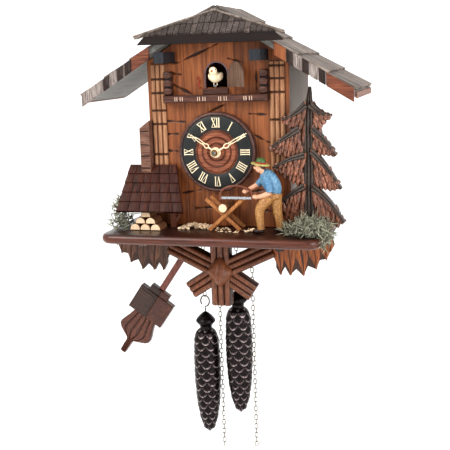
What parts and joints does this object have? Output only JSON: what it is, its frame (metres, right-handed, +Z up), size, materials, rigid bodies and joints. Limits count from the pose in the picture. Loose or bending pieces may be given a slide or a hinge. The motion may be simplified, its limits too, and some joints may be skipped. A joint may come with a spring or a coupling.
{
  "type": "wall cuckoo clock",
  "caption": "Wall-hung mechanical cuckoo clock: a chalet case with shingled roof, carved yard scene, round dial, chain-driven pine-cone weights and a leaf pendulum.",
  "frame": {"origin": "centre of the hanger plate hole on the wall plane, where the clock hangs on its nail", "axes": "+X to the viewer's right, +Y into the wall, +Z up"},
  "size_m": [0.3068, 0.165, 0.4972],
  "materials": {
    "case_wood": "stained and lacquered spruce",
    "red_wood": "dark red-brown stained wood",
    "dark_wood": "near-black stained wood",
    "pale_wood": "lightly stained wood",
    "shingle_wood": "weathered shingle pieces",
    "grey_painted_wood": "grey painted wood",
    "figure_paint": "carved and painted wood",
    "black_ring": "black, with cream numerals",
    "cream_plastic": "cream",
    "brass": "polished",
    "steel": "drawn wire and sheet",
    "cast_iron": "dark brown paint over cast iron"
  },
  "bodies": {
    "case": {"front_panel": "case_wood", "left_wall": "grey_painted_wood", "right_wall": "grey_painted_wood", "base_board": "red_wood", "back_panel": "red_wood", "hanger_plate": "steel", "roof_left": "shingle_wood", "roof_right": "shingle_wood", "roof_hip": "shingle_wood", "barge_left": "red_wood", "barge_right": "red_wood", "purlin_left": "grey_painted_wood", "purlin_right": "grey_painted_wood", "reeds_left": "pale_wood", "reeds_right": "pale_wood", "chimney": "pale_wood", "balcony": "dark_wood", "dial_board": "red_wood", "chapter_ring": "black_ring", "movement_front_plate": "brass", "movement_back_plate": "brass", "shed_roof": "red_wood", "shed_post": "red_wood", "woodpile": "pale_wood", "fir_tree": "red_wood", "sawhorse": "case_wood", "saw_log": "pale_wood", "star_bracket": "case_wood", "leaf_left": "case_wood", "leaf_right": "case_wood", "whistle_left": "pale_wood", "whistle_right": "pale_wood", "gong": "steel"},
    "minute_hand_body": {"centre_arbor": "steel", "minute_hand": "cream_plastic", "hand_nut": "brass"},
    "hour_hand_body": {"hour_wheel": "brass", "hour_hand": "cream_plastic"},
    "escape_wheel_body": {"escape_wheel": "brass"},
    "leader": {"anchor_and_leader": "steel"},
    "pendulum": {"pendulum_rod": "red_wood", "pendulum_bob": "dark_wood"},
    "cuckoo": {"bird_arm": "steel", "cuckoo_bird": "cream_plastic"},
    "door": {"door_leaf": "dark_wood"},
    "weight_left": {"cone_left": "cast_iron", "hook_left": "steel", "chain_weight_left": "brass"},
    "free_chain_left": {"chain_free_left": "brass"},
    "spool_left": {"chain_wheel_left": "brass"},
    "weight_right": {"cone_right": "cast_iron", "hook_right": "steel", "chain_weight_right": "brass"},
    "free_chain_right": {"chain_free_right": "brass"},
    "spool_right": {"chain_wheel_right": "brass"},
    "woodcutter": {"sawyer": "figure_paint", "bow_saw": "case_wood"},
    "lid_left": {"bellows_lid_left": "pale_wood"},
    "lid_right": {"bellows_lid_right": "pale_wood"},
    "hammer": {"gong_hammer": "steel"}
  },
  "joints": [
    {"name": "minute_turn", "type": "hinge", "parent": "case", "child": "minute_hand_body", "pos_m": [0, -0.1201, -0.088], "axis": [0, 1, 0], "continuous": true},
    {"name": "hour_turn", "type": "hinge", "parent": "case", "child": "hour_hand_body", "pos_m": [0, -0.1156, -0.088], "axis": [0, 1, 0], "continuous": true},
    {"name": "escape_turn", "type": "hinge", "parent": "case", "child": "escape_wheel_body", "pos_m": [0, -0.0716, -0.073], "axis": [0, 1, 0], "continuous": true},
    {"name": "anchor_rock", "type": "hinge", "parent": "case", "child": "leader", "pos_m": [0, -0.044, -0.059], "axis": [0, 1, 0], "range_deg": [-5, 5]},
    {"name": "pendulum_swing", "type": "hinge", "parent": "leader", "child": "pendulum", "pos_m": [0, -0.038, -0.12], "axis": [0, -1, 0], "range_deg": [0, 69]},
    {"name": "cuckoo_retract", "type": "hinge", "parent": "case", "child": "cuckoo", "pos_m": [-0.04, -0.093, -0.0245], "axis": [0, 0, 1], "range_deg": [0, 35]},
    {"name": "door_swing", "type": "hinge", "parent": "case", "child": "door", "pos_m": [0.0138, -0.1062, -0.0213], "axis": [0, 0, 1], "range_deg": [-140, 0]},
    {"name": "weight_drop_left", "type": "slide", "parent": "case", "child": "weight_left", "axis": [0, 0, -1], "range_m": [0, 0.11]},
    {"name": "free_chain_rise_left", "type": "slide", "parent": "case", "child": "free_chain_left", "axis": [0, 0, 1], "range_m": [0, 0.11]},
    {"name": "spool_turn_left", "type": "hinge", "parent": "case", "child": "spool_left", "pos_m": [-0.01925, -0.086, -0.138], "axis": [0, -1, 0], "range_deg": [0, 725]},
    {"name": "weight_drop_right", "type": "slide", "parent": "case", "child": "weight_right", "axis": [0, 0, -1], "range_m": [0, 0.11]},
    {"name": "free_chain_rise_right", "type": "slide", "parent": "case", "child": "free_chain_right", "axis": [0, 0, 1], "range_m": [0, 0.11]},
    {"name": "spool_turn_right", "type": "hinge", "parent": "case", "child": "spool_right", "pos_m": [0.01925, -0.086, -0.138], "axis": [0, -1, 0], "range_deg": [0, 725]},
    {"name": "woodcutter_rock", "type": "hinge", "parent": "case", "child": "woodcutter", "pos_m": [0.076, -0.1305, -0.1687], "axis": [0, 1, 0], "range_deg": [0, 6]},
    {"name": "bellows_lift_left", "type": "hinge", "parent": "case", "child": "lid_left", "pos_m": [-0.06, -0.014, -0.0574], "axis": [-1, 0, 0], "range_deg": [0, 12]},
    {"name": "bellows_lift_right", "type": "hinge", "parent": "case", "child": "lid_right", "pos_m": [0.06, -0.014, -0.0574], "axis": [-1, 0, 0], "range_deg": [0, 12]},
    {"name": "hammer_lift", "type": "hinge", "parent": "case", "child": "hammer", "pos_m": [0.034, -0.016, -0.088], "axis": [0, 1, 0], "range_deg": [0, 12]}
  ],
  "couplings": [
    {"joint": "hour_turn", "follows": "minute_turn", "ratio": 0.083333},
    {"joint": "door_swing", "follows": "cuckoo_retract", "ratio": -4},
    {"joint": "free_chain_rise_left", "follows": "weight_drop_left", "ratio": 1},
    {"joint": "spool_turn_left", "follows": "weight_drop_left", "rad_per_m": 114.29},
    {"joint": "free_chain_rise_right", "follows": "weight_drop_right", "ratio": 1},
    {"joint": "spool_turn_right", "follows": "weight_drop_right", "rad_per_m": 114.29}
  ]
}
